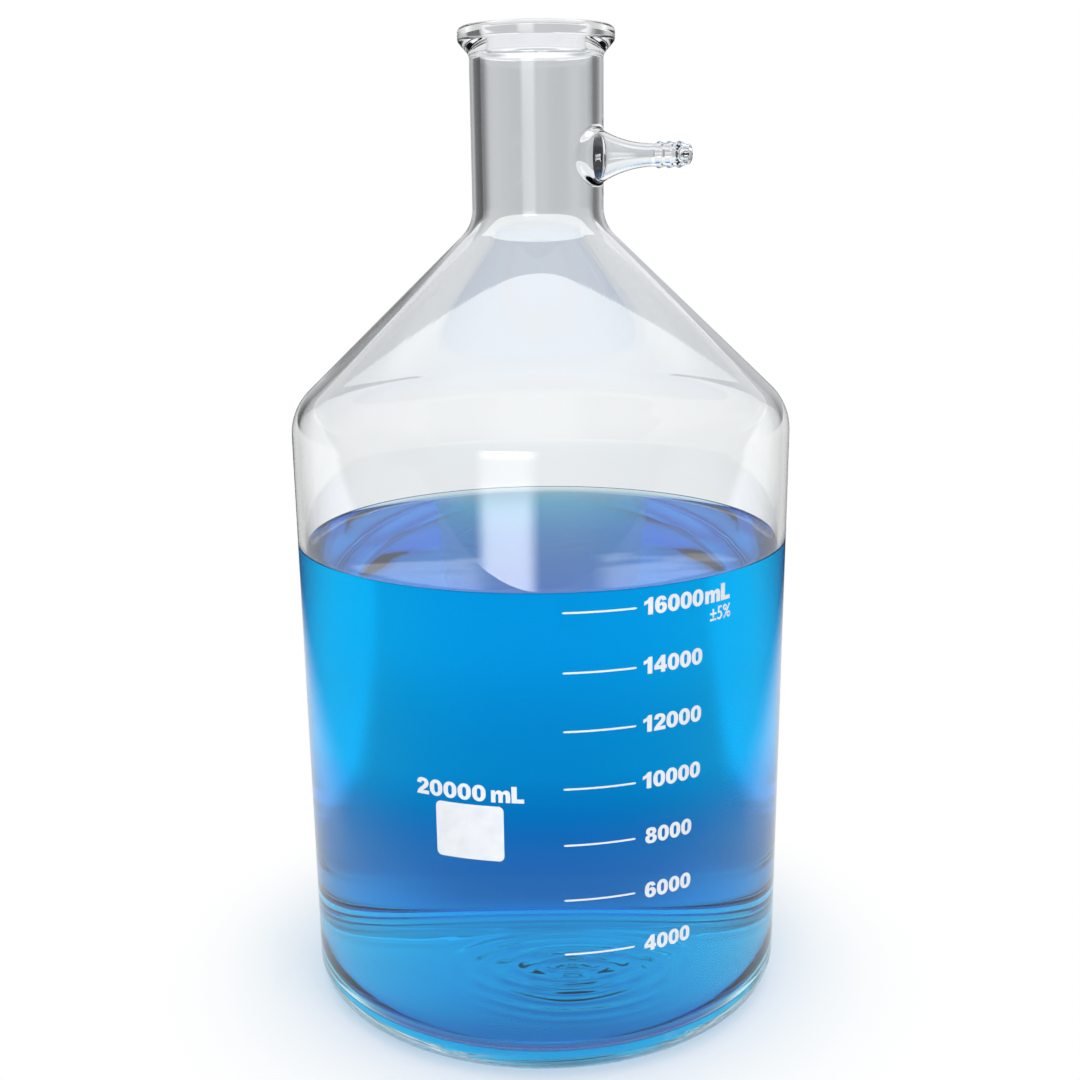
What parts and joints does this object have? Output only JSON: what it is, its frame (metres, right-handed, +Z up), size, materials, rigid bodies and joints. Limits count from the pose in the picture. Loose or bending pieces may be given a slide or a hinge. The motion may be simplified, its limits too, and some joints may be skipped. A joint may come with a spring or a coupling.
{
  "type": "filtering flask",
  "caption": "Tall clear glass filtering flask with a flanged neck, a barbed hose connection at its side, white enamel volume lines and a writing panel, filled with blue water.",
  "frame": {"origin": "centre of the base, on the surface that the flask stands on", "axes": "+Z up along the flask's axis, through its mouth; -Y is the front with the print; the hose connection points to +X, turned 24 degrees to the front"},
  "size_m": [0.29, 0.29, 0.566],
  "materials": {
    "clear_glass": "polished clear glass",
    "blue_water": "clear blue coloured water",
    "white_enamel": "fired white enamel, satin"
  },
  "bodies": {
    "root": {"flask": "clear_glass", "blue_liquid": "blue_water", "graduation_lines": "white_enamel", "marking_panel": "white_enamel"}
  },
  "joints": []
}
